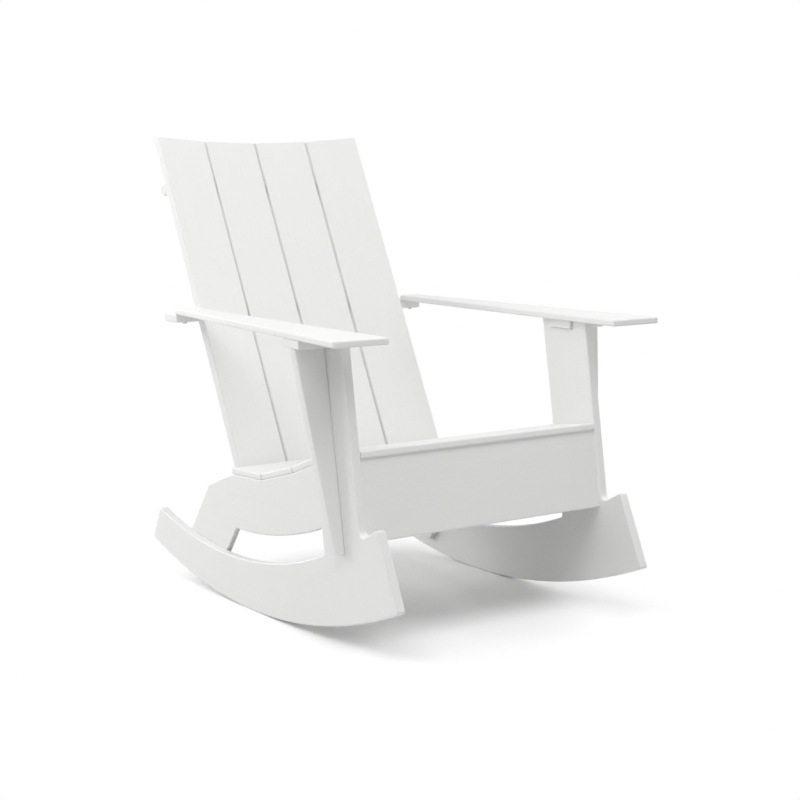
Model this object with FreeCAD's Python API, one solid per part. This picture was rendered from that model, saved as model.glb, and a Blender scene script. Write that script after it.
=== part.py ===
import FreeCAD, Part
import math
import os

# Rocking adirondack chair made of flat boards of solid plastic lumber. Sizes are in millimetres.
# +Z is up, the chair faces -Y and X runs across it. The origin is on the floor, midway between
# the two rockers and directly under the chair's balance point, where the rockers touch the floor.

# Board stock. Straight boards have rounded rims, and the boards with curved outlines bevelled ones
frame_board = 19.0
thin_board = 12.7
arm_bearer_board = 17.5
edge_round = 3.0
edge_bevel = 2.0

# Widths across the chair, measured from its middle plane
seat_half_width = 281.0
arm_half_width = 384.0

# Heights
arm_top = 587.0
apron_bottom = 207.5
wing_bottom = 180.0

# Leaning edges are given by their place at this height and by their lean, in mm of travel
# towards the back or the outside for each mm of height
lean_height = 230.0
leg_front = (-388.1, 0.161)
leg_rear = (-260.3, 0.173)
apron_front = (-383.7, 0.161)
wing_front = (-334.9, 0.173)
wing_outer = (326.8, 0.118)

# Rocker: the floor arc stands on the origin, and the top arc has its own centre (y, z)
rocker_radius = 1286.0
rocker_toe_y = -509.0
rocker_heel_y = 426.0
heel_top_y = 391.0
toe_top = (-444.5, 245.1)
toe_fall = 0.53
top_arc_centre = (93.0, 1076.5)
top_arc_radius = 980.0
tip_round = 5.0
toe_hollow_round = 12.0
leg_hollow_round = 6.0

# Arms, and the cleats that they are screwed to
arm_front_y = -437.0
arm_rear_y = 286.6
arm_inner_x = 265.0
arm_rear_outer_x = 311.0
arm_corner_round = 5.0
cleat_front_y = -293.5
cleat_rear_y = -230.5
cleat_inner_x = 275.0
cleat_inside_arm_edge = 3.0

# Back: a rake in mm back for each mm up, and the point of its front face on the middle plane
back_rake = 0.5
back_foot = (197.0, 380.0)
back_slat_width = 125.0
back_slat_gap = 5.0
back_top = 616.0
back_bottom = -180.0
back_middle_set_back = 4.5
inner_facet = 3.2
outer_facet = 3.0 * inner_facet
outer_step = 0.4

# Rails behind the back: their depth behind the slats, and where they stand up the slats
back_rail_depth = 32.0
upper_brace_rise = 501.0
upper_brace_half_width = 250.0
upper_brace_end_cut = 5.0
lower_rail_rise = -169.0
arm_brace_depth = 32.0
arm_brace_half_width = 312.5
arm_brace_tab_front_y = 275.0
arm_brace_tab_rear_y = 328.0
arm_brace_slot_half_width = 264.0

# Seat slats from the back to the front: y and z of the rear top edge, rise in degrees, width
seat_slats = {
    "seat_slat_1": (105.5, 272.3, 2.4, 112.0),
    "seat_slat_2": (-12.0, 278.7, 15.2, 114.5),
    "seat_slat_3": (-130.0, 311.6, 20.3, 114.5),
    "front_seat_slat": (-244.0, 356.5, 8.3, 123.3),
}

# Stringers, the boards under the seat whose feet stand behind the rockers' inner faces
stringer_chamfer_y = 205.6
stringer_chamfer_z = 222.0
stringer_rear_lean = -0.717
foot_front_y = 129.8
foot_front_z = 95.7
foot_front_lean = -0.725
foot_above_floor_arc = 25.0
rocker_to_stringer_gap = 52.0
stringer_corner_round = 6.0

# Screws: hexagon heads on six-sided shanks, and how deep each kind reaches behind its head
screw_head_radius = 4.8
screw_head_height = 3.0
screw_recess_radius = 5.6
screw_shank_radius = 2.4
back_screw_length = 46.0
arm_screw_length = 26.5
stringer_screw_length = 27.0
wing_screw_length = 38.0
cleat_screw_length = 50.0

# Slanting screws in pockets: their tilt, the run in the board that they leave and the bite in the next
pocket_tilt = 15.0
pocket_length = 34.0
thin_board_run = 13.5
frame_board_run = 24.0
slat_bite = 9.0
stringer_bite = 9.0
leg_bite = 14.0

# Places of the screws on the right-hand side: (x, y) seen from above, (y, z) seen from the side
arm_screw_places = [(318.0, -246.0), (345.0, -246.0), (290.0, 281.0)]
stringer_screw_places = [(-335.0, 306.0), (-272.0, 298.0), (195.0, 70.0), (270.0, 85.0)]
wing_screw_heights = [200.0, 235.0]
cleat_screw_places = [(290.5, -262.0), (332.0, -269.5)]
apron_screw_heights = [240.0, 315.0]


def vector(x, y, z):
    """A point or direction."""
    return FreeCAD.Vector(x, y, z)


def lean_at(edge, height):
    """Place of a leaning edge at a height."""
    place, lean = edge
    return place + lean * (height - lean_height)


def on_arc(centre, radius, y):
    """The point of an arc's lower side at a given y, in the side view."""
    centre_y, centre_z = centre
    return (y, centre_z - math.sqrt(radius ** 2 - (y - centre_y) ** 2))


def lean_meets_arc(edge, centre, radius):
    """The point where a leaning edge crosses an arc's lower side, in the side view."""
    place, lean = edge
    offset = place - lean * lean_height - centre[0]
    a = lean ** 2 + 1.0
    b = 2.0 * (offset * lean - centre[1])
    c = offset ** 2 + centre[1] ** 2 - radius ** 2
    height = (-b - math.sqrt(b ** 2 - 4.0 * a * c)) / (2.0 * a)
    return (lean_at(edge, height), height)


def crossing(first, first_slope, second, second_slope):
    """The point where two lines of the side view cross, each through a point with a slope."""
    rise = second[1] - first[1] + second_slope * (first[0] - second[0])
    y = first[0] + rise / (first_slope - second_slope)
    return (y, first[1] + first_slope * (y - first[0]))


def as_lean(point, slope):
    """A sloping line of the side view, written as a leaning edge."""
    y, z = point
    return (y + (lean_height - z) / slope, 1.0 / slope)


def straight(start, end):
    """A straight edge between two points of a board's own plane."""
    return Part.LineSegment(vector(*start, 0.0), vector(*end, 0.0)).toShape()


def curved(centre, radius, start_y, end_y):
    """An arc's lower side between two y values, in a board's own plane."""
    middle = on_arc(centre, radius, (start_y + end_y) / 2.0)
    start = on_arc(centre, radius, start_y)
    end = on_arc(centre, radius, end_y)
    return Part.Arc(vector(*start, 0.0), vector(*middle, 0.0), vector(*end, 0.0)).toShape()


def closed_lines(points):
    """The straight edges that join points into a closed outline."""
    following = points[1:] + points[:1]
    return [straight(start, end) for start, end in zip(points, following)]


def corner_edges(solid, places):
    """The edges through a board's thickness that stand at the given places of its outline."""
    found = []
    for edge in solid.Edges:
        box = edge.BoundBox
        if box.XLength > 0.01 or box.YLength > 0.01:
            continue
        if any(abs(box.XMin - x) < 0.01 and abs(box.YMin - y) < 0.01 for x, y in places):
            found.append(edge)
    return found


def board(outline, thickness, corners=(), sharp=None, bevelled=False):
    """A board cut to an outline in its own XY plane, from z = 0 to its thickness.

    corners lists (radius, places) for rounded corners of the outline. Both rims are eased,
    apart from the stretches whose middle the function sharp picks out.
    """
    solid = Part.Face(Part.Wire(outline)).extrude(vector(0, 0, thickness))
    for radius, places in corners:
        solid = solid.makeFillet(radius, corner_edges(solid, places))
    rims = []
    for edge in solid.Edges:
        if edge.BoundBox.ZLength > 0.01:
            continue
        middle = edge.valueAt((edge.FirstParameter + edge.LastParameter) / 2.0)
        if sharp is None or not sharp(middle):
            rims.append(edge)
    if bevelled:
        return solid.makeChamfer(edge_bevel, rims)
    return solid.makeFillet(edge_round, rims)


def placed(solid, origin, x_axis, y_axis):
    """A board moved from its own plane to an origin and two directions of the chair."""
    z_axis = x_axis.cross(y_axis)
    move = FreeCAD.Matrix(
        x_axis.x, y_axis.x, z_axis.x, origin.x,
        x_axis.y, y_axis.y, z_axis.y, origin.y,
        x_axis.z, y_axis.z, z_axis.z, origin.z,
        0, 0, 0, 1,
    )
    return solid.transformed(move, True)


def standing_fore_and_aft(solid, inner_x):
    """A board whose own plane is the side view, set with its first face at inner_x."""
    return placed(solid, vector(inner_x, 0, 0), vector(0, 1, 0), vector(0, 0, 1))


def mirrored(solid):
    """The same piece on the other side of the chair."""
    return solid.mirror(vector(0, 0, 0), vector(1, 0, 0))


arm_underside = arm_top - thin_board
cleat_bottom = arm_underside - arm_bearer_board
arm_bearer_middle = cleat_bottom + arm_bearer_board / 2.0
floor_arc_centre = (0.0, rocker_radius)
stringer_inner_x = seat_half_width - thin_board
frame_outer_x = seat_half_width + frame_board


def side_frame():
    """Rocker and front leg in one board, with a notch in the leg's top for the arm cleat."""
    toe = on_arc(floor_arc_centre, rocker_radius, rocker_toe_y)
    heel = on_arc(floor_arc_centre, rocker_radius, rocker_heel_y)
    heel_top = on_arc(top_arc_centre, top_arc_radius, heel_top_y)
    leg_root = lean_meets_arc(leg_rear, top_arc_centre, top_arc_radius)
    leg_slope = 1.0 / leg_front[1]
    toe_hollow = crossing(toe_top, -toe_fall, (leg_front[0], lean_height), leg_slope)
    leg_top = [
        (lean_at(leg_rear, arm_underside), arm_underside),
        (cleat_rear_y, arm_underside),
        (cleat_rear_y, cleat_bottom),
        (cleat_front_y, cleat_bottom),
        (cleat_front_y, arm_underside),
        (lean_at(leg_front, arm_underside), arm_underside),
    ]
    front = [leg_top[-1], toe_hollow, toe_top, toe]
    outline = [
        curved(floor_arc_centre, rocker_radius, rocker_toe_y, rocker_heel_y),
        straight(heel, heel_top),
        curved(top_arc_centre, top_arc_radius, heel_top_y, leg_root[0]),
        straight(leg_root, leg_top[0]),
    ]
    outline += [straight(start, end) for start, end in zip(leg_top, leg_top[1:])]
    outline += [straight(start, end) for start, end in zip(front, front[1:])]
    corners = [
        (tip_round, [toe, toe_top, heel, heel_top]),
        (toe_hollow_round, [toe_hollow]),
        (leg_hollow_round, [leg_root]),
    ]
    solid = board(outline, frame_board, corners, lambda point: point.y > cleat_bottom - 1.0, True)
    return standing_fore_and_aft(solid, seat_half_width)


def wing():
    """Upright board on the leg's outer face, widening towards the arm that it props."""
    depth = frame_board * math.hypot(1.0, wing_front[1])
    profile = []
    for height, set_back in [
        (wing_bottom, 0.0),
        (wing_bottom, depth),
        (cleat_bottom, depth),
        (cleat_bottom, 0.0),
    ]:
        profile.append((lean_at(wing_front, height) + set_back, height))
    slab = Part.Face(Part.Wire(closed_lines(profile))).extrude(vector(0, 0, arm_half_width))
    slab = standing_fore_and_aft(slab, 0.0)
    front_view = [
        vector(frame_outer_x, -arm_half_width, wing_bottom),
        vector(lean_at(wing_outer, wing_bottom), -arm_half_width, wing_bottom),
        vector(lean_at(wing_outer, cleat_bottom), -arm_half_width, cleat_bottom),
        vector(frame_outer_x, -arm_half_width, cleat_bottom),
    ]
    taper = Part.Face(Part.makePolygon(front_view + front_view[:1]))
    taper = taper.extrude(vector(0, arm_half_width, 0))
    solid = slab.common(taper).Solids[0]
    rims = []
    for edge in solid.Edges:
        middle = edge.valueAt((edge.FirstParameter + edge.LastParameter) / 2.0)
        if middle.x > frame_outer_x + 0.1 and edge.BoundBox.ZLength > frame_board:
            rims.append(edge)
    return solid.makeFillet(edge_round, rims)


def arm_outer_x(y):
    """Place of the arm's outer edge at a given y."""
    share = (y - arm_front_y) / (arm_rear_y - arm_front_y)
    return arm_half_width + share * (arm_rear_outer_x - arm_half_width)


def arm_cleat():
    """Flat plate in the leg's notch and over the wing, which carries the arm."""
    corners = [
        (cleat_inner_x, cleat_front_y),
        (arm_outer_x(cleat_front_y) - cleat_inside_arm_edge, cleat_front_y),
        (arm_outer_x(cleat_rear_y) - cleat_inside_arm_edge, cleat_rear_y),
        (cleat_inner_x, cleat_rear_y),
    ]
    solid = board(closed_lines(corners), arm_bearer_board, (), lambda point: point.z > 1.0)
    return solid.translated(vector(0, 0, cleat_bottom))


def arm():
    """Flat armrest, wide at the front and narrow beside the back."""
    corners = [
        (arm_inner_x, arm_front_y),
        (arm_half_width, arm_front_y),
        (arm_rear_outer_x, arm_rear_y),
        (arm_inner_x, arm_rear_y),
    ]
    solid = board(closed_lines(corners), thin_board, [(arm_corner_round, corners)])
    return solid.translated(vector(0, 0, arm_underside))


def seat_underside(name):
    """Underside line of a seat slat in the side view: its rear point and its slope."""
    rear_y, rear_z, rise, width = seat_slats[name]
    angle = math.radians(rise)
    point = (rear_y - thin_board * math.sin(angle), rear_z - thin_board * math.cos(angle))
    return point, -math.tan(angle)


def seat_slat(name):
    """One slat of the seat, as long as the space between the side frames."""
    rear_y, rear_z, rise, width = seat_slats[name]
    angle = math.radians(rise)
    corners = [
        (-seat_half_width, -width),
        (seat_half_width, -width),
        (seat_half_width, 0.0),
        (-seat_half_width, 0.0),
    ]
    solid = board(closed_lines(corners), thin_board)
    (under_y, under_z), slope = seat_underside(name)
    rearward = vector(0, math.cos(angle), -math.sin(angle))
    return placed(solid, vector(0, under_y, under_z), vector(1, 0, 0), rearward)


def apron_back_y(height):
    """Place of the apron's rear face at a height."""
    return lean_at(apron_front, height) + frame_board * math.hypot(1.0, apron_front[1])


def front_apron():
    """Leaning board under the front slat, which closes the seat's front between the legs."""
    slat_point, slat_slope = seat_underside("front_seat_slat")
    slope = 1.0 / apron_front[1]
    front_top = crossing((apron_front[0], lean_height), slope, slat_point, slat_slope)
    rear_top = crossing((apron_back_y(lean_height), lean_height), slope, slat_point, slat_slope)
    profile = [
        (lean_at(apron_front, apron_bottom), apron_bottom),
        front_top,
        rear_top,
        (apron_back_y(apron_bottom), apron_bottom),
    ]
    solid = Part.Face(Part.Wire(closed_lines(profile))).extrude(vector(0, 0, 2.0 * seat_half_width))
    rims = []
    for edge in solid.Edges:
        middle = edge.valueAt((edge.FirstParameter + edge.LastParameter) / 2.0)
        if middle.y < apron_bottom + 0.1 and edge.BoundBox.ZLength > frame_board:
            rims.append(edge)
    solid = solid.makeFillet(edge_round, rims)
    return standing_fore_and_aft(solid, -seat_half_width)


def stringer():
    """Board under the seat's end, from the apron to a foot that stands behind the rocker."""
    names = list(seat_slats)
    undersides = [seat_underside(name) for name in names]
    steps = []
    for (point, slope), (next_point, next_slope) in zip(undersides, undersides[1:]):
        steps.append(crossing(point, slope, next_point, next_slope))
    front_point, front_slope = undersides[-1]
    apron_slope = 1.0 / apron_front[1]
    front_top = crossing((apron_back_y(lean_height), lean_height), apron_slope, front_point, front_slope)
    arch_radius = top_arc_radius - rocker_to_stringer_gap
    front_low = lean_meets_arc((apron_back_y(lean_height), apron_front[1]), top_arc_centre, arch_radius)
    chamfer = (stringer_chamfer_y, stringer_chamfer_z)
    foot_radius = rocker_radius - foot_above_floor_arc
    heel = lean_meets_arc(as_lean(chamfer, 1.0 / stringer_rear_lean), floor_arc_centre, foot_radius)
    foot_front = as_lean((foot_front_y, foot_front_z), 1.0 / foot_front_lean)
    foot_toe = lean_meets_arc(foot_front, floor_arc_centre, foot_radius)
    arch_end = lean_meets_arc(foot_front, top_arc_centre, arch_radius)
    top = [front_top] + steps[::-1] + [undersides[0][0], chamfer, heel]
    outline = [straight(start, end) for start, end in zip(top, top[1:])]
    outline += [
        curved(floor_arc_centre, foot_radius, heel[0], foot_toe[0]),
        straight(foot_toe, arch_end),
        curved(top_arc_centre, arch_radius, arch_end[0], front_low[0]),
        straight(front_low, front_top),
    ]
    corners = [(stringer_corner_round, [chamfer, heel, foot_toe, arch_end])]
    seat_rear = undersides[0][0][0]

    def touches_seat_or_apron(point):
        return point.x < seat_rear and (point.y > front_low[1] + 1.0 or point.x < front_low[0] + 1.0)

    solid = board(outline, thin_board, corners, touches_seat_or_apron, True)
    return standing_fore_and_aft(solid, stringer_inner_x)


rake_length = math.hypot(1.0, back_rake)
up_the_back = vector(0, back_rake / rake_length, 1.0 / rake_length)
behind_the_back = vector(0, 1.0 / rake_length, -back_rake / rake_length)
across = vector(1, 0, 0)


def back_point(x, rise, depth):
    """A point given by its x, its rise up the back and its depth behind the back's front."""
    foot = vector(x, back_foot[0], back_foot[1])
    return foot + up_the_back * rise + behind_the_back * depth


def slat_front(name):
    """Inner front corner (x, depth) and facet angle of a back slat of the right-hand half."""
    inner_x = back_slat_gap / 2.0
    if name == "inner":
        return inner_x, back_middle_set_back, math.radians(inner_facet)
    angle = math.radians(inner_facet)
    x = inner_x + back_slat_width * math.cos(angle) + back_slat_gap
    depth = back_middle_set_back - back_slat_width * math.sin(angle) - outer_step
    return x, depth, math.radians(outer_facet)


def through_slat(facet):
    """Direction from a back slat's front face to its rear face, for the right-hand half."""
    return behind_the_back * math.cos(facet) + across * math.sin(facet)


def back_slat(name):
    """One of the back's slats for the right-hand half, its top cut level from front to rear."""
    x, depth, facet = slat_front(name)
    profile = [
        (back_bottom, 0.0),
        (back_top, 0.0),
        (back_top + back_rake * frame_board, frame_board),
        (back_bottom, frame_board),
    ]
    solid = Part.Face(Part.Wire(closed_lines(profile))).extrude(vector(0, 0, -back_slat_width))
    rims = []
    for edge in solid.Edges:
        start, end = edge.Vertexes[0].Point, edge.Vertexes[-1].Point
        if abs(start.y - end.y) < 0.01:
            rims.append(edge)
    solid = solid.makeFillet(edge_round, rims)
    return placed(solid, back_point(x, 0.0, depth), up_the_back, through_slat(facet))


def slat_back_line(offset):
    """Outline behind the slats' rear faces, from the middle to the right, moved back by offset.

    It has three corners: on the middle plane, between the two facets, and well outside.
    """
    lines = []
    for name in ["inner", "outer"]:
        x, depth, facet = slat_front(name)
        back = frame_board + offset
        lines.append(((x + back * math.sin(facet), depth + back * math.cos(facet)), -math.tan(facet)))
    (inner_point, inner_slope), (outer_point, outer_slope) = lines
    middle = (0.0, inner_point[1] - inner_slope * inner_point[0])
    outside_x = arm_half_width
    outside = (outside_x, outer_point[1] + outer_slope * (outside_x - outer_point[0]))
    return [middle, crossing(inner_point, inner_slope, outer_point, outer_slope), outside]


def cut_at(line, x):
    """A slat-back outline that ends at x instead of well outside."""
    inner, outer = line[1], line[2]
    share = (x - inner[0]) / (outer[0] - inner[0])
    return [line[0], inner, (x, inner[1] + share * (outer[1] - inner[1]))]


def both_halves(line):
    """An outline of the right-hand half continued over the left-hand half, left to right."""
    left = [(-x, depth) for x, depth in line[:0:-1]]
    return left + line


def back_rail(rise, half_width, end_cut):
    """Rail across the slats' rear faces, following their facets, square to the back."""
    front = both_halves(cut_at(slat_back_line(0.0), half_width - end_cut))
    rear = both_halves(cut_at(slat_back_line(back_rail_depth), half_width))
    outline = closed_lines(front + rear[::-1])
    front_middle_depth = slat_back_line(0.0)[0][1]
    middle_depth = front_middle_depth + back_rail_depth / 2.0
    first_depth = rear[0][1] - back_rail_depth / 2.0

    def against_slats_or_side(point):
        along = abs(point.x) / half_width
        return point.y < middle_depth + (first_depth - middle_depth) * along

    solid = board(outline, frame_board, (), against_slats_or_side)
    return placed(solid, back_point(0.0, rise, 0.0), across, behind_the_back)


def slat_envelope():
    """Everything in front of the slats' rear faces, which the arm brace is bevelled to."""
    line = both_halves(cut_at(slat_back_line(0.0), arm_brace_slot_half_width))
    far = -arm_half_width
    outline = [(line[0][0], far)] + line + [(line[-1][0], far)]
    solid = Part.Face(Part.Wire(closed_lines(outline))).extrude(vector(0, 0, back_top))
    return placed(solid, back_point(0.0, 0.0, 0.0), across, behind_the_back)


def arm_brace_rear_line():
    """The arm brace's rear edge from the middle to its right-hand end, as points (x, y)."""
    slat_line_y = back_foot[0] + (arm_bearer_middle - back_foot[1]) * back_rake
    line = []
    for x, depth in slat_back_line(0.0)[:2]:
        line.append((x, slat_line_y + depth * rake_length + arm_brace_depth))
    return line + [(arm_brace_half_width, arm_brace_tab_rear_y)]


def arm_back_brace():
    """Flat rail behind the slats at arm height, whose ends come forward under the arms."""
    rear = both_halves(arm_brace_rear_line())
    front_y = arm_brace_tab_front_y
    outline = [(rear[0][0], front_y)] + rear + [(rear[-1][0], front_y)]
    blank = board(closed_lines(outline), arm_bearer_board, [(tip_round, [rear[0], rear[-1]])])
    blank = blank.translated(vector(0, 0, cleat_bottom))
    return blank.cut(slat_envelope()).Solids[0]


def hexagonal_rod(radius, start, direction, length):
    """A six-sided rod along direction, as wide over its corners as twice the radius."""
    helper = vector(0, 0, 1) if abs(direction.x) > 0.5 else across
    x_axis = direction.cross(helper).normalize()
    corners = []
    for turn in range(6):
        angle = math.radians(60.0 * turn)
        corners.append((radius * math.cos(angle), radius * math.sin(angle)))
    rod = Part.Face(Part.Wire(closed_lines(corners))).extrude(vector(0, 0, length))
    return placed(rod, start, x_axis, direction.cross(x_axis))


def screw_shank(seat, direction, length):
    """A screw's shank, or the hole that it fills, from inside its head to its tip."""
    inside_head = screw_head_height / 2.0
    return hexagonal_rod(screw_shank_radius, seat - direction * inside_head, direction, length + inside_head)


def screw(seat, direction, length):
    """A hexagon-head screw whose head stands on seat and whose shank points along direction."""
    head_top = seat - direction * screw_head_height
    head = hexagonal_rod(screw_head_radius, head_top, direction, screw_head_height)
    return head.fuse(screw_shank(seat, direction, length))


def back_screw_places():
    """Seats and directions of the screws that hold each right-hand slat to the three rails."""
    places = []
    rear = arm_brace_rear_line()
    half = back_slat_width / 2.0
    for name, start, end in [("inner", rear[0], rear[1]), ("outer", rear[1], rear[2])]:
        x, depth, facet = slat_front(name)
        forward = through_slat(facet) * -1.0
        middle_x = x + half * math.cos(facet)
        middle_depth = depth - half * math.sin(facet)
        for rise in [upper_brace_rise, lower_rail_rise]:
            seat = back_point(middle_x, rise + frame_board / 2.0, middle_depth)
            places.append((seat - forward * (frame_board + back_rail_depth), forward))
        slope = (end[1] - start[1]) / (end[0] - start[0])
        seat = vector(middle_x, start[1] + slope * (middle_x - start[0]), arm_bearer_middle)
        places.append((seat, vector(slope, -1, 0).normalize()))
    return places


def pocket_screw(joint_point, through_joint, from_pocket, run, bite):
    """Seat, direction, length and recess of a slanting screw that crosses a joint at joint_point.

    through_joint is square to the joint, and from_pocket leads away from the pocket's open side.
    """
    tilt = math.radians(pocket_tilt)
    direction = through_joint * math.cos(tilt) + from_pocket * math.sin(tilt)
    return joint_point - direction * run, direction, run + bite, pocket_length


def seat_screws():
    """Pocket screws from the stringer's inner face up into each seat slat."""
    screws = []
    for name, (rear_y, rear_z, rise, width) in seat_slats.items():
        angle = math.radians(rise)
        (under_y, under_z), slope = seat_underside(name)
        y = under_y - width / 2.0 * math.cos(angle)
        z = under_z + width / 2.0 * math.sin(angle)
        joint_point = vector(seat_half_width - thin_board / 2.0, y, z)
        upward = vector(0, math.sin(angle), math.cos(angle))
        screws.append(pocket_screw(joint_point, upward, across, thin_board_run, slat_bite))
    return screws


def apron_screws():
    """Pocket screws from the apron's rear face into the leg."""
    lean = math.atan(apron_front[1])
    forward = vector(0, -math.cos(lean), math.sin(lean))
    screws = []
    for z in apron_screw_heights:
        y = (lean_at(apron_front, z) + apron_back_y(z)) / 2.0
        joint_point = vector(seat_half_width, y, z)
        screws.append(pocket_screw(joint_point, across, forward, frame_board_run, leg_bite))
    return screws


def lower_rail_screws():
    """A pocket screw from the lower rail's underside into the stringer."""
    rise = lower_rail_rise + frame_board / 2.0
    depth = cut_at(slat_back_line(0.0), stringer_inner_x)[-1][1] + back_rail_depth / 2.0
    joint_point = back_point(stringer_inner_x, rise, depth)
    return [pocket_screw(joint_point, across, up_the_back, frame_board_run, stringer_bite)]


def screw_groups():
    """The right-hand side's screws by node, each as its seat, direction, length and recess."""
    up = vector(0, 0, 1)
    back = [(seat, forward, back_screw_length, 0.0) for seat, forward in back_screw_places()]
    arm = [(vector(x, y, cleat_bottom), up, arm_screw_length, 0.0) for x, y in arm_screw_places]
    stringer_side = []
    for y, z in stringer_screw_places:
        stringer_side.append((vector(stringer_inner_x, y, z), across, stringer_screw_length, 0.0))
    wing_side = []
    for z in wing_screw_heights:
        y = lean_at(wing_front, z) + frame_board * math.hypot(1.0, wing_front[1]) / 2.0
        wing_side.append((vector(seat_half_width, y, z), across, wing_screw_length, 0.0))
    cleat = []
    for x, y in cleat_screw_places:
        seat = vector(x, y, arm_underside - screw_head_height)
        cleat.append((seat, up * -1.0, cleat_screw_length, screw_head_height))
    return {
        "back_screws": back,
        "arm_screws": arm,
        "stringer_screws": stringer_side,
        "wing_screws": wing_side,
        "cleat_screws": cleat,
        "seat_screws": seat_screws(),
        "apron_screws": apron_screws(),
        "lower_rail_screws": lower_rail_screws(),
    }


def screw_hole(seat, direction, length, recess):
    """What a screw takes out of the boards: its shank and, where recess isn't zero, a way in."""
    hole = screw_shank(seat, direction, length)
    if recess > 0.0:
        way_in = hexagonal_rod(screw_recess_radius, seat - direction * recess, direction, recess)
        hole = hole.fuse(way_in)
    return hole


def drilled(solid, screws):
    """A board with the holes of all the screws that reach into it."""
    for tool in screws:
        if solid.BoundBox.intersect(tool.BoundBox):
            solid = solid.cut(tool).Solids[0]
    return solid


def write_step(name, shape):
    """One STEP file for one named piece."""
    shape.exportStep(os.path.join("parts", name + ".step"))
    print(name, round(shape.Volume / 1000.0, 1), "cm3", "valid" if shape.isValid() else "NOT VALID")


def build():
    """All the pieces of the chair by name."""
    pieces = {}
    for name, make in [
        ("side_frame", side_frame),
        ("stringer", stringer),
        ("wing", wing),
        ("arm_cleat", arm_cleat),
        ("arm", arm),
    ]:
        right = make()
        pieces[name + "_right"] = right
        pieces[name + "_left"] = mirrored(right)
    for name in seat_slats:
        pieces[name] = seat_slat(name)
    pieces["front_apron"] = front_apron()
    outer = back_slat("outer")
    inner = back_slat("inner")
    for name, solid in [("back_slat_1", mirrored(outer)), ("back_slat_2", mirrored(inner)),
                        ("back_slat_3", inner), ("back_slat_4", outer)]:
        pieces[name] = solid
    pieces["upper_back_brace"] = back_rail(upper_brace_rise, upper_brace_half_width, upper_brace_end_cut)
    pieces["lower_back_rail"] = back_rail(lower_rail_rise, stringer_inner_x, 0.0)
    pieces["arm_back_brace"] = arm_back_brace()
    groups = {}
    holes = []
    for name, places in screw_groups().items():
        right = [screw(seat, direction, length) for seat, direction, length, recess in places]
        groups[name] = Part.makeCompound(right + [mirrored(one) for one in right])
        for place in places:
            hole = screw_hole(*place)
            holes += [hole, mirrored(hole)]
    pieces = {name: drilled(solid, holes) for name, solid in pieces.items()}
    pieces.update(groups)
    return pieces


os.makedirs("parts", exist_ok=True)
for piece_name, piece in build().items():
    write_step(piece_name, piece)
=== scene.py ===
import math

import bpy
import numpy as np
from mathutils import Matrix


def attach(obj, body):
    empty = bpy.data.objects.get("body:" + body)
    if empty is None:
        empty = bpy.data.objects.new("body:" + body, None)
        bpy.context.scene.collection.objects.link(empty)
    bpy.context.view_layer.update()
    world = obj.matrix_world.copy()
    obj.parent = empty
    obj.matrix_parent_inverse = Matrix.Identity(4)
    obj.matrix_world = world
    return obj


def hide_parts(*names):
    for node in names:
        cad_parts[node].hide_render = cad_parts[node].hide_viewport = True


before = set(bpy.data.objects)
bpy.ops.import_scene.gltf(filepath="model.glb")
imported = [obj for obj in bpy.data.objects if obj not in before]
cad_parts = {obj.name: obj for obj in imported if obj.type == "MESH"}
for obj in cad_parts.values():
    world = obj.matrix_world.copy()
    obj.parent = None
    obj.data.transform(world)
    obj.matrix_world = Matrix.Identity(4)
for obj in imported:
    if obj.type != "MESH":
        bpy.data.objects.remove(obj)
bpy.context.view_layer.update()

# Rocker and front leg: one board on each side, cut from a 19 mm sheet of white plastic lumber.
# Its grain runs up the leg. The outline is routed, and a round-over bit softens both rims.
sides = (("left", -1.0), ("right", 1.0))
sheet_white = (0.875, 0.875, 0.868)
leg_grain = (0.0, 0.165, 1.0)
frame_board = 0.019
frame_inner_x = 0.281
rim_round, rim_rings = 0.003, 6
sharp_angle = math.radians(35.0)
lean_height = 0.230
leg_front, leg_rear = (-0.3881, 0.161), (-0.2603, 0.173)
sole_centre, sole_radius = np.array((0.0, 1.286)), 1.286
toe_y, heel_y, sole_points = -0.509, 0.426, 72
top_centre, top_radius = np.array((0.093, 1.0765)), 0.980
heel_top_y, top_points = 0.391, 48
toe_top, toe_fall = np.array((-0.4445, 0.2451)), 0.53
tip_round, leg_root_round, toe_hollow_round = 0.005, 0.006, 0.012
arm_underside, cleat_bottom = 0.5743, 0.5568
notch_front_y, notch_rear_y = -0.2935, -0.2305


def unit(direction):
    """A direction at length one."""
    direction = np.asarray(direction, float)
    return direction / np.linalg.norm(direction)


def link_math(tree, operation, first, second=0.0, clamp=False):
    """A Math node that joins two values, each a number or another node's output."""
    node = tree.nodes.new("ShaderNodeMath")
    node.operation = operation
    node.use_clamp = clamp
    for socket, value in zip(node.inputs, (first, second)):
        if isinstance(value, (int, float)):
            socket.default_value = value
        else:
            tree.links.new(value, socket)
    return node.outputs["Value"]


def add_shares(tree, start, shares):
    """A start value plus a share of each output, as a chain of Math nodes."""
    total = start
    for output, share in shares:
        total = link_math(tree, "ADD", link_math(tree, "MULTIPLY", output, share), total)
    return total


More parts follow.
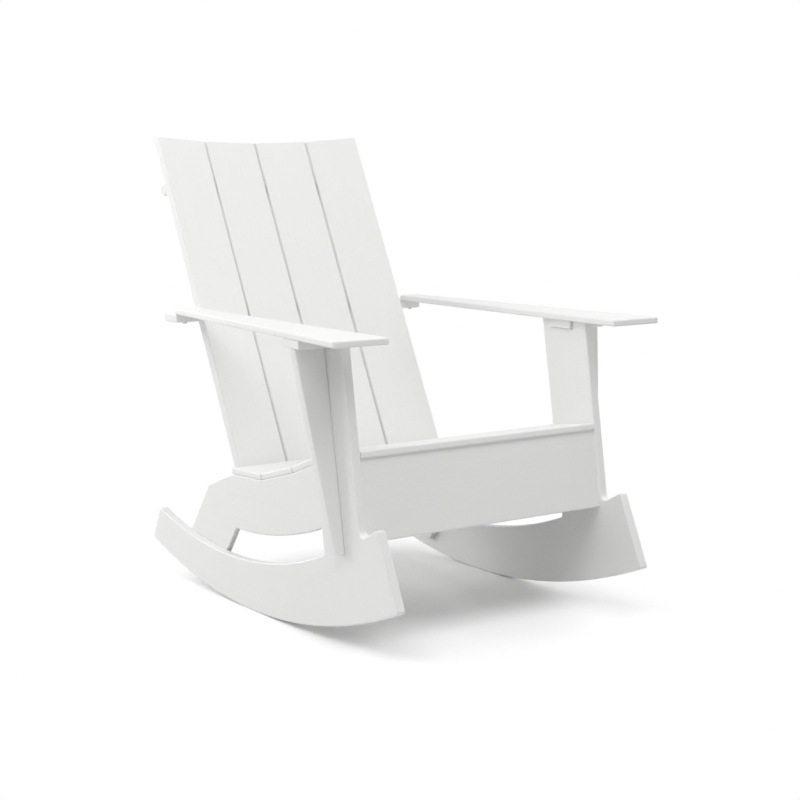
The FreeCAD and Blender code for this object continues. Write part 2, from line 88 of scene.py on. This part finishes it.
def sheet_plastic(name, along, through):
    """White sheet plastic, whose grain runs along a board and whose faces are square to through.

    A point's place is taken along the grain, across it and through the board. Streaks are noise
    stretched about 40 times along the grain. Cutter marks are noise stretched through the board,
    whose relief shows on the sawn edges alone. The skin is fine even noise. The rounded rims,
    where the surface faces neither way, are a little smoother, and paler as a painted highlight.
    """
    streak_cells, streak_detail = (9.0, 380.0, 380.0), 4.0
    cutter_cells = (420.0, 420.0, 12.0)
    skin_cells = (1500.0, 1500.0, 1500.0)
    cloud_cells = (5.0, 11.0, 11.0)
    plain_detail = 2.0
    face_limits, edge_limits = (0.90, 0.99), (0.05, 0.30)
    base_tone, base_roughness = 0.949, 0.42

    material = bpy.data.materials.new(name)
    material.use_nodes = True
    tree = material.node_tree
    shader = tree.nodes["Principled BSDF"]
    shader.inputs["IOR"].default_value = 1.5
    along = unit(along)
    through = unit(through)
    across = np.cross(through, along)
    place = tree.nodes.new("ShaderNodeTexCoord")

    def share_along(output, direction):
        """How far a place or a normal reaches along a direction, as a dot product."""
        dot = tree.nodes.new("ShaderNodeVectorMath")
        dot.operation = "DOT_PRODUCT"
        tree.links.new(place.outputs[output], dot.inputs[0])
        dot.inputs[1].default_value = tuple(direction)
        return dot.outputs["Value"]

    parts = [share_along("Object", direction) for direction in (along, across, through)]

    def board_noise(cells, detail):
        """Noise on the board's own three directions, with a number of cells per metre on each."""
        join = tree.nodes.new("ShaderNodeCombineXYZ")
        for socket, part, scale in zip(join.inputs, parts, cells):
            tree.links.new(link_math(tree, "MULTIPLY", part, scale), socket)
        noise = tree.nodes.new("ShaderNodeTexNoise")
        noise.inputs["Scale"].default_value = 1.0
        noise.inputs["Detail"].default_value = detail
        noise.inputs["Roughness"].default_value = 0.6
        tree.links.new(join.outputs["Vector"], noise.inputs["Vector"])
        return noise.outputs["Fac"]

    streaks = board_noise(streak_cells, streak_detail)
    cutter = board_noise(cutter_cells, plain_detail)
    skin = board_noise(skin_cells, plain_detail)
    clouds = board_noise(cloud_cells, plain_detail)

    facing = link_math(tree, "ABSOLUTE", share_along("Normal", through))

    def facing_between(low, high):
        """Nought where the surface faces less than low along through, and one above high."""
        step = tree.nodes.new("ShaderNodeMapRange")
        step.interpolation_type = "SMOOTHSTEP"
        step.inputs["From Min"].default_value = low
        step.inputs["From Max"].default_value = high
        tree.links.new(facing, step.inputs["Value"])
        return step.outputs["Result"]

    on_face = facing_between(*face_limits)
    off_edge = facing_between(*edge_limits)
    sawn = link_math(tree, "SUBTRACT", 1.0, off_edge)
    rim = link_math(tree, "SUBTRACT", off_edge, on_face, clamp=True)

    # Tone: streaks of two percent, clouds and cutter marks of under one, and the rims a little
    # paler as a painted highlight.
    tones = [(streaks, 0.050), (clouds, 0.020), (cutter, 0.014), (rim, 0.012)]
    paint = tree.nodes.new("ShaderNodeVectorMath")
    paint.operation = "SCALE"
    paint.inputs[0].default_value = sheet_white
    tree.links.new(add_shares(tree, base_tone, tones), paint.inputs["Scale"])
    tree.links.new(paint.outputs["Vector"], shader.inputs["Base Color"])

    rough = add_shares(tree, base_roughness, [(streaks, 0.16), (sawn, 0.08), (rim, -0.08)])
    tree.links.new(rough, shader.inputs["Roughness"])

    # Relief: a tenth of a millimetre at most, in streaks on the faces and in cuts on the edges.
    grain = link_math(tree, "MULTIPLY", streaks, on_face)
    cuts = link_math(tree, "MULTIPLY", cutter, sawn)
    bump = tree.nodes.new("ShaderNodeBump")
    bump.inputs["Strength"].default_value = 0.35
    bump.inputs["Distance"].default_value = 0.00012
    tree.links.new(add_shares(tree, grain, [(cuts, 1.0), (skin, 0.35)]), bump.inputs["Height"])
    tree.links.new(bump.outputs["Normal"], shader.inputs["Normal"])
    return material


def lean_at(edge, height):
    """Place of a leaning edge at a height, from its place at lean_height and travel per rise."""
    place, lean = edge
    return place + lean * (height - lean_height)


def crossing(first, first_slope, second, second_slope):
    """The point where two lines cross, each given by a point and its slope."""
    rise = second[1] - first[1] + second_slope * (first[0] - second[0])
    y = first[0] + rise / (first_slope - second_slope)
    return np.array((y, first[1] + first_slope * (y - first[0])))


def lean_meets_arc(edge, centre, radius):
    """The lower point where a leaning edge crosses a circle, from the quadratic in its height."""
    place, lean = edge
    offset = place - lean * lean_height - centre[0]
    a = lean ** 2 + 1.0
    b = 2.0 * (offset * lean - centre[1])
    c = offset ** 2 + centre[1] ** 2 - radius ** 2
    height = (-b - math.sqrt(b ** 2 - 4.0 * a * c)) / (2.0 * a)
    return np.array((lean_at(edge, height), height))


def arc_run(centre, radius, start_y, end_y, count):
    """Points of an arc's lower side: z is the centre's less the square root of r² - (y - yc)²."""
    y = np.linspace(start_y, end_y, count)
    return np.stack([y, centre[1] - np.sqrt(radius ** 2 - (y - centre[0]) ** 2)], axis=1)


def eased_corner(before, corner, after, radius, count=7):
    """A corner turned on an arc that touches both of its sides.

    The arc's centre lies on the corner's bisector, and its points turn evenly from the tangent
    point on one side to that on the other.
    """
    back, ahead = unit(before - corner), unit(after - corner)
    half = math.acos(float(np.clip(back @ ahead, -1.0, 1.0))) / 2.0
    centre = corner + unit(back + ahead) * radius / math.sin(half)
    start = corner + back * radius / math.tan(half) - centre
    end = corner + ahead * radius / math.tan(half) - centre
    turn = np.linspace(0.0, 1.0, count)[:, None]
    sweep = math.pi - 2.0 * half
    from_start = np.sin((1.0 - turn) * sweep) / math.sin(sweep)
    from_end = np.sin(turn * sweep) / math.sin(sweep)
    return centre + from_start * start + from_end * end


def round_rimmed_board(name, outline, thickness, place, turned):
    """A board with its rims rounded over, as a closed surface on a grid of rings and points.

    The outline is one ring of points. With a rim's radius r, a ring at angle t is moved inwards
    by r (1 - sin t) along the mitred normals and lies r (1 - cos t) below the face, and t runs
    over a quarter circle at each face. The first and last rings are filled flat. place turns a
    point of the outline and a depth into a point of the chair, and turned swaps the faces over.
    """
    ahead = np.roll(outline, -1, axis=0) - outline
    ahead /= np.linalg.norm(ahead, axis=1)[:, None]
    side_after = np.stack([-ahead[:, 1], ahead[:, 0]], axis=1)
    side_before = np.roll(side_after, 1, axis=0)
    mitre = (side_before + side_after) / (1.0 + (side_before * side_after).sum(axis=1))[:, None]
    t = np.linspace(0.0, math.pi / 2.0, rim_rings)
    inset = rim_round * (1.0 - np.sin(t))
    depth = rim_round * (1.0 - np.cos(t))
    inset = np.concatenate([inset, inset[::-1]])
    depth = np.concatenate([depth, thickness - depth[::-1]])
    rings = outline[None] + inset[:, None, None] * mitre[None]
    points = place(rings[..., 0], rings[..., 1], np.broadcast_to(depth[:, None], rings.shape[:2]))
    index = np.arange(rings.shape[0] * rings.shape[1]).reshape(rings.shape[:2])
    after = np.roll(index, -1, axis=1)
    quads = np.stack([index[:-1], index[1:], after[1:], after[:-1]], axis=-1).reshape(-1, 4)
    faces = quads.tolist() + [index[0].tolist(), index[-1][::-1].tolist()]
    if turned:
        faces = [face[::-1] for face in faces]
    mesh = bpy.data.meshes.new(name)
    mesh.from_pydata(points.reshape(-1, 3).tolist(), [], faces)
    mesh.shade_smooth()
    mesh.set_sharp_from_angle(angle=sharp_angle)
    piece = bpy.data.objects.new(name, mesh)
    bpy.context.scene.collection.objects.link(piece)
    even = piece.modifiers.new("even_shading", "WEIGHTED_NORMAL")
    even.keep_sharp = True
    even.weight = 100
    return piece


def standing_board(name, outline, thickness, sign, inner_x):
    """A board that stands fore and aft at one side of the chair, with its inner face at inner_x."""
    def place(y, z, depth):
        return np.stack([sign * (inner_x + depth), y, z], axis=-1)

    return round_rimmed_board(name, outline, thickness, place, turned=sign > 0.0)


def add_board(piece, node, along, through):
    """Puts a new board in the place of its CAD node, with its material."""
    piece.data.materials.append(sheet_plastic(piece.name + "_plastic", along, through))
    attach(piece, "root")
    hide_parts(node)


sole = arc_run(sole_centre, sole_radius, toe_y, heel_y, sole_points)
leg_root = lean_meets_arc(leg_rear, top_centre, top_radius)
rocker_top = arc_run(top_centre, top_radius, heel_top_y, leg_root[0], top_points)
leg_front_point = (leg_front[0], lean_height)
toe_hollow = crossing(toe_top, -toe_fall, leg_front_point, 1.0 / leg_front[1])
leg_top = np.array([
    (lean_at(leg_rear, arm_underside), arm_underside),
    (notch_rear_y, arm_underside),
    (notch_rear_y, cleat_bottom),
    (notch_front_y, cleat_bottom),
    (notch_front_y, arm_underside),
    (lean_at(leg_front, arm_underside), arm_underside),
])
frame_outline = np.concatenate([
    eased_corner(toe_top, sole[0], sole[1], tip_round),
    sole[1:-1],
    eased_corner(sole[-2], sole[-1], rocker_top[0], tip_round),
    eased_corner(sole[-1], rocker_top[0], rocker_top[1], tip_round),
    rocker_top[1:-1],
    eased_corner(rocker_top[-2], leg_root, leg_top[0], leg_root_round),
    leg_top,
    eased_corner(leg_top[-1], toe_hollow, toe_top, toe_hollow_round),
    eased_corner(toe_hollow, toe_top, sole[0], tip_round),
])
for side, sign in sides:
    name = "rocker_and_leg_" + side
    piece = standing_board(name, frame_outline, frame_board, sign, frame_inner_x)
    add_board(piece, "side_frame_" + side, leg_grain, (1.0, 0.0, 0.0))

# Stringers: 12.7 mm boards under the seat's ends, screwed to the inside of the rocker boards.
# They are cut from thinner sheet, with routed rims and the grain running fore and aft. Their top
# edges follow the seat's underside, and their feet end 25 mm above the rockers' soles.
thin_board = 0.0127
stringer_inner_x = frame_inner_x - thin_board
rocker_gap, arch_points = 0.052, 48
arch_radius = top_radius - rocker_gap
foot_lift, foot_points = 0.025, 12
foot_radius = sole_radius - foot_lift
foot_round = 0.006
foot_back, foot_back_lean = np.array((0.2056, 0.2220)), -0.717
foot_front, foot_front_lean = (0.1298, 0.0957), -0.725
apron_front_y = -0.3837
apron_rear = (apron_front_y + frame_board * math.hypot(1.0, leg_front[1]), leg_front[1])
seat_slat_tops = {
    "seat_slat_1": (0.1055, 0.2723, 2.4),
    "seat_slat_2": (-0.0120, 0.2787, 15.2),
    "seat_slat_3": (-0.1300, 0.3116, 20.3),
    "front_seat_slat": (-0.2440, 0.3565, 8.3),
}


def seat_underside(name):
    """A point and the slope of a slat's underside, one thickness below its rear top edge."""
    rear_y, rear_z, rise = seat_slat_tops[name]
    angle = math.radians(rise)
    square = np.array((math.sin(angle), math.cos(angle)))
    return np.array((rear_y, rear_z)) - thin_board * square, -math.tan(angle)


def leaning_edge(point, lean):
    """An edge through a point, written as its place at lean_height and its travel per rise."""
    return point[0] + lean * (lean_height - point[1]), lean


undersides = [seat_underside(name) for name in seat_slat_tops]
seat_bed = [crossing(*rear, *front) for rear, front in zip(undersides, undersides[1:])]
seat_end = undersides[0][0]
apron_point = np.array((apron_rear[0], lean_height))
front_top = crossing(apron_point, 1.0 / apron_rear[1], *undersides[-1])
front_low = lean_meets_arc(apron_rear, top_centre, arch_radius)
foot_front_edge = leaning_edge(foot_front, foot_front_lean)
foot_heel = lean_meets_arc(leaning_edge(foot_back, foot_back_lean), sole_centre, foot_radius)
foot_toe = lean_meets_arc(foot_front_edge, sole_centre, foot_radius)
arch_end = lean_meets_arc(foot_front_edge, top_centre, arch_radius)
arch = arc_run(top_centre, arch_radius, front_low[0], arch_end[0], arch_points)
foot_sole = arc_run(sole_centre, foot_radius, foot_toe[0], foot_heel[0], foot_points)
stringer_outline = np.concatenate([
    arch[:-1],
    eased_corner(arch[-2], arch[-1], foot_sole[0], foot_round),
    eased_corner(arch[-1], foot_sole[0], foot_sole[1], foot_round),
    foot_sole[1:-1],
    eased_corner(foot_sole[-2], foot_sole[-1], foot_back, foot_round),
    eased_corner(foot_sole[-1], foot_back, seat_end, foot_round),
    [seat_end],
    seat_bed,
    [front_top],
])
for side, sign in sides:
    name = "seat_stringer_" + side
    piece = standing_board(name, stringer_outline, thin_board, sign, stringer_inner_x)
    add_board(piece, "stringer_" + side, (0.0, 1.0, 0.0), (1.0, 0.0, 0.0))


# Front apron: a 19 mm board of the same white sheet, its grain running across the chair. It stands
# between the legs and leans with them, and slanting screws from behind hold it.
def finish_board(name, along, through):
    """Gives a CAD board its material."""
    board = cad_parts[name]
    board.data.materials.clear()
    board.data.materials.append(sheet_plastic(name + "_plastic", along, through))


finish_board("front_apron", (1.0, 0.0, 0.0), (0.0, 1.0, -leg_front[1]))

# Seat: three slats and a front slat of 12.7 mm sheet, laid in a dip on the stringers' top edges.
# Each has its own rise towards the front, and pocket screws from the stringers hold it.
for name, (rear_y, rear_z, rise) in seat_slat_tops.items():
    angle = math.radians(rise)
    finish_board(name, (1.0, 0.0, 0.0), (0.0, math.sin(angle), math.cos(angle)))

# Back slats: four 19 mm boards, raked back and set in a shallow faceted curve, with 5 mm gaps.
# Their feet stand behind the seat, and screws from the rails behind hold them.
back_rake = 0.5
back_rise = np.array((0.0, back_rake, 1.0))
back_square = unit((0.0, 1.0, -back_rake))
facet_turn = math.radians(3.2)
for number, facets in enumerate((-3, -1, 1, 3), start=1):
    angle = facets * facet_turn
    through = back_square * math.cos(angle) + np.array((math.sin(angle), 0.0, 0.0))
    finish_board(f"back_slat_{number}", back_rise, through)

# Upper brace and lower rail: 19 mm rails across the slats' backs, square to the rake, whose
# front edges are sawn to the facets. The lower one is hidden behind the seat.
for name in ("upper_back_brace", "lower_back_rail"):
    finish_board(name, (1.0, 0.0, 0.0), back_rise)

# Arm brace: a level 17.5 mm rail behind the slats at arm height. Its ends come forward past
# the outer slats and carry the rear ends of the arms.
finish_board("arm_back_brace", (1.0, 0.0, 0.0), (0.0, 0.0, 1.0))

# Wings: 19 mm uprights on the legs' outer faces, widening towards the arms that they prop. They
# lean back with the leg and are cut level at both ends. Screws hold them from inside the leg.
wing_front, wing_outer = (-0.3349, 0.173), (0.3268, 0.118)
wing_bottom = 0.180
wing_inner_x = frame_inner_x + frame_board
wing_depth = frame_board * math.hypot(1.0, wing_front[1])
wing_outline = np.array([
    (wing_inner_x, wing_bottom),
    (lean_at(wing_outer, wing_bottom), wing_bottom),
    (lean_at(wing_outer, cleat_bottom), cleat_bottom),
    (wing_inner_x, cleat_bottom),
])
for side, sign in sides:
    piece = round_rimmed_board(
        "wing_board_" + side, wing_outline, wing_depth,
        lambda x, z, depth: np.stack([sign * x, lean_at(wing_front, z) + depth, z], axis=-1),
        turned=sign < 0.0,
    )
    add_board(piece, "wing_" + side, (0.0, wing_front[1], 1.0), (0.0, 1.0, -wing_front[1]))

# Cleats: level 17.5 mm plates let into the tops of the legs, which the arms are screwed to.
# Their outer ends follow the taper of the arms, 3 mm inside the arms' edges.
cleat_inner_x = 0.275
cleat_setback = 0.003
arm_front_x, arm_front_y = 0.384, -0.437
arm_rear_x, arm_rear_y = 0.311, 0.2866
arm_taper = (arm_front_x - arm_rear_x) / (arm_rear_y - arm_front_y)


def inside_arm_edge(y):
    """A setback inside the arm's outer edge, which runs straight from front to rear."""
    return arm_front_x - arm_taper * (y - arm_front_y) - cleat_setback


cleat_outline = np.array([
    (cleat_inner_x, notch_front_y),
    (inside_arm_edge(notch_front_y), notch_front_y),
    (inside_arm_edge(notch_rear_y), notch_rear_y),
    (cleat_inner_x, notch_rear_y),
])
for side, sign in sides:
    piece = round_rimmed_board(
        "cleat_plate_" + side, cleat_outline, arm_underside - cleat_bottom,
        lambda x, y, depth: np.stack([sign * x, y, cleat_bottom + depth], axis=-1),
        turned=sign > 0.0,
    )
    add_board(piece, "arm_cleat_" + side, (1.0, 0.0, 0.0), (0.0, 0.0, 1.0))

# Arms: level 12.7 mm boards, wide at the front and narrow beside the back, with eased corners.
# Screws from below hold them to the cleats and to the ends of the arm brace.
for side, _ in sides:
    finish_board("arm_" + side, (0.0, 1.0, 0.0), (0.0, 0.0, 1.0))

# Screws: plain stainless steel with hexagon heads, driven from behind, from inside and from
# below, so that none shows from the front. The forged heads have softened corners.
steel_grey = (0.62, 0.62, 0.61)
head_corner_round, head_corner_angle = 0.0004, math.radians(28.0)


def screw_steel():
    """Stainless steel: a metal whose roughness and tone vary with fine and with coarser noise."""
    material = bpy.data.materials.new("stainless_steel")
    material.use_nodes = True
    tree = material.node_tree
    shader = tree.nodes["Principled BSDF"]
    shader.inputs["Metallic"].default_value = 1.0
    place = tree.nodes.new("ShaderNodeTexCoord")
    fine = tree.nodes.new("ShaderNodeTexNoise")
    fine.inputs["Scale"].default_value = 2500.0
    fine.inputs["Detail"].default_value = 3.0
    tree.links.new(place.outputs["Object"], fine.inputs["Vector"])
    coarse = tree.nodes.new("ShaderNodeTexNoise")
    coarse.inputs["Scale"].default_value = 300.0
    tree.links.new(place.outputs["Object"], coarse.inputs["Vector"])
    paint = tree.nodes.new("ShaderNodeVectorMath")
    paint.operation = "SCALE"
    paint.inputs[0].default_value = steel_grey
    shade = add_shares(tree, 0.94, [(coarse.outputs["Fac"], 0.12)])
    tree.links.new(shade, paint.inputs["Scale"])
    tree.links.new(paint.outputs["Vector"], shader.inputs["Base Color"])
    rough = add_shares(tree, 0.25, [(fine.outputs["Fac"], 0.2)])
    tree.links.new(rough, shader.inputs["Roughness"])
    bump = tree.nodes.new("ShaderNodeBump")
    bump.inputs["Strength"].default_value = 0.3
    bump.inputs["Distance"].default_value = 0.00003
    tree.links.new(fine.outputs["Fac"], bump.inputs["Height"])
    tree.links.new(bump.outputs["Normal"], shader.inputs["Normal"])
    return material


def soften_heads(screws):
    """Joins the screws' flat faces and rounds the corners between them."""
    weld = screws.modifiers.new("join_faces", "WELD")
    weld.merge_threshold = 1e-6
    bevel = screws.modifiers.new("round_over", "BEVEL")
    bevel.width = head_corner_round
    bevel.segments = 2
    bevel.limit_method = "ANGLE"
    bevel.angle_limit = head_corner_angle
    even = screws.modifiers.new("even_shading", "WEIGHTED_NORMAL")
    even.weight = 100


steel = screw_steel()
for joint in ("back", "arm", "stringer", "wing", "cleat", "seat", "apron", "lower_rail"):
    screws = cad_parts[joint + "_screws"]
    screws.data.materials.clear()
    screws.data.materials.append(steel)
    soften_heads(screws)

# Floor: a plain pale studio floor. The camera and reflections see it as white paper that keeps
# the chair's soft shadow, and outside that shadow it turns into plain white.
floor_grey = 0.80
floor_as_seen = 1.09
floor_half = 30.0
shadow_middle = (0.0, -0.11, 0.0)
shadow_half = (0.29, 0.35, 0.0)
shadow_fade = 0.17


def seen_directly(tree):
    """One for what the camera, a reflection or glass looks at, and nought for light on its way."""
    path = tree.nodes.new("ShaderNodeLightPath")
    seen = link_math(tree, "MAXIMUM", path.outputs["Is Camera Ray"], path.outputs["Is Glossy Ray"])
    return link_math(tree, "MAXIMUM", seen, path.outputs["Is Transmission Ray"])


def link_vector(tree, operation, first, second=(0.0, 0.0, 0.0)):
    """A Vector Math node on another node's output and a fixed direction."""
    node = tree.nodes.new("ShaderNodeVectorMath")
    node.operation = operation
    tree.links.new(first, node.inputs[0])
    node.inputs[1].default_value = second
    return node


def outside_shadow(tree):
    """Nought in the rectangle of the shadow, rising smoothly to one at shadow_fade outside it.

    A point's distance from the rectangle is the length of what is left, above nought, of its
    offset from the middle, taken as positive, when the half sides are taken off.
    """
    point = tree.nodes.new("ShaderNodeTexCoord").outputs["Object"]
    offset = link_vector(tree, "SUBTRACT", point, shadow_middle).outputs["Vector"]
    positive = link_vector(tree, "ABSOLUTE", offset).outputs["Vector"]
    past = link_vector(tree, "SUBTRACT", positive, shadow_half).outputs["Vector"]
    left = link_vector(tree, "MAXIMUM", past).outputs["Vector"]
    fade = tree.nodes.new("ShaderNodeMapRange")
    fade.interpolation_type = "SMOOTHSTEP"
    fade.inputs["From Min"].default_value = 0.0
    fade.inputs["From Max"].default_value = shadow_fade
    tree.links.new(link_vector(tree, "LENGTH", left).outputs["Value"], fade.inputs["Value"])
    return fade.outputs["Result"]


def matt_paper(tree, grey):
    """A plain matt surface of one grey."""
    matt = tree.nodes.new("ShaderNodeBsdfDiffuse")
    matt.inputs["Color"].default_value = (grey, grey, grey, 1.0)
    return matt.outputs["BSDF"]


def mix_surfaces(tree, share, first, second):
    """The first surface where the share is nought and the second where it is one."""
    mix = tree.nodes.new("ShaderNodeMixShader")
    tree.links.new(share, mix.inputs["Fac"])
    tree.links.new(first, mix.inputs[1])
    tree.links.new(second, mix.inputs[2])
    return mix.outputs["Shader"]


paper = bpy.data.materials.new("white_paper")
paper.use_nodes = True
tree = paper.node_tree
tree.nodes.clear()
white = tree.nodes.new("ShaderNodeEmission").outputs["Emission"]
as_seen = mix_surfaces(tree, outside_shadow(tree), matt_paper(tree, floor_as_seen), white)
surface = mix_surfaces(tree, seen_directly(tree), matt_paper(tree, floor_grey), as_seen)
output = tree.nodes.new("ShaderNodeOutputMaterial")
tree.links.new(surface, output.inputs["Surface"])

corners = np.array([(-1, -1, 0), (1, -1, 0), (1, 1, 0), (-1, 1, 0)], float) * floor_half
floor_mesh = bpy.data.meshes.new("floor")
floor_mesh.from_pydata(corners.tolist(), [], [(0, 1, 2, 3)])
floor_mesh.materials.append(paper)
floor = bpy.data.objects.new("floor", floor_mesh)
bpy.context.scene.collection.objects.link(floor)

# Light: a white room and seven wide softboxes round the chair. The high ones in front make its
# soft shadow under it, and the low ones behind and beside it light the gaps and the far faces.
room_level = 0.22
lamp_distance = 3.4
lamp_size = 2.0
chair_middle = np.array((0.0, 0.0, 0.4))
softboxes = {
    "front_high": (0.0, 62.0, 28.0),
    "front_left_high": (-45.0, 50.0, 31.0),
    "front_right_high": (45.0, 50.0, 13.0),
    "left_high": (-90.0, 50.0, 14.0),
    "rear_left_low": (-135.0, 20.0, 44.0),
    "right_low": (90.0, 20.0, 37.0),
    "rear_low": (180.0, 4.0, 34.0),
}
scene = bpy.context.scene
scene.view_settings.view_transform = "Standard"
world = bpy.data.worlds.new("studio")
scene.world = world
world.use_nodes = True
tree = world.node_tree
room = tree.nodes["Background"]
room.inputs["Color"].default_value = (1.0, 1.0, 1.0, 1.0)
level = add_shares(tree, room_level, [(seen_directly(tree), 1.0 - room_level)])
tree.links.new(level, room.inputs["Strength"])

# Each softbox stands on a sphere round the chair's middle, turned from the front towards the
# right and raised from level, both in degrees, with its power in watts, and faces the middle.
for name, (turn, rise, watts) in softboxes.items():
    lamp = bpy.data.lights.new(name, "AREA")
    lamp.shape = "SQUARE"
    lamp.size = lamp_size
    lamp.energy = watts
    holder = bpy.data.objects.new(name, lamp)
    scene.collection.objects.link(holder)
    turn, rise = math.radians(turn), math.radians(rise)
    level_reach = math.cos(rise)
    away = (math.sin(turn) * level_reach, -math.cos(turn) * level_reach, math.sin(rise))
    holder.location = chair_middle + lamp_distance * np.array(away)
    holder.rotation_euler = (math.pi / 2.0 - rise, 0.0, turn)

# Camera: at the photograph's place, to the chair's front left and a little above the arms. It
# was solved from the board edges in the photograph. Its tilt and turn are in degrees.
camera_place = (-1.96870, -2.88099, 0.91261)
camera_tilt, camera_turn = 81.6578, -35.2113
camera = bpy.data.cameras.new("camera")
camera.sensor_width = 36.0
camera.lens = 76.502
camera_object = bpy.data.objects.new("camera", camera)
scene.collection.objects.link(camera_object)
camera_object.location = camera_place
camera_object.rotation_euler = (math.radians(camera_tilt), 0.0, math.radians(camera_turn))
scene.camera = camera_object
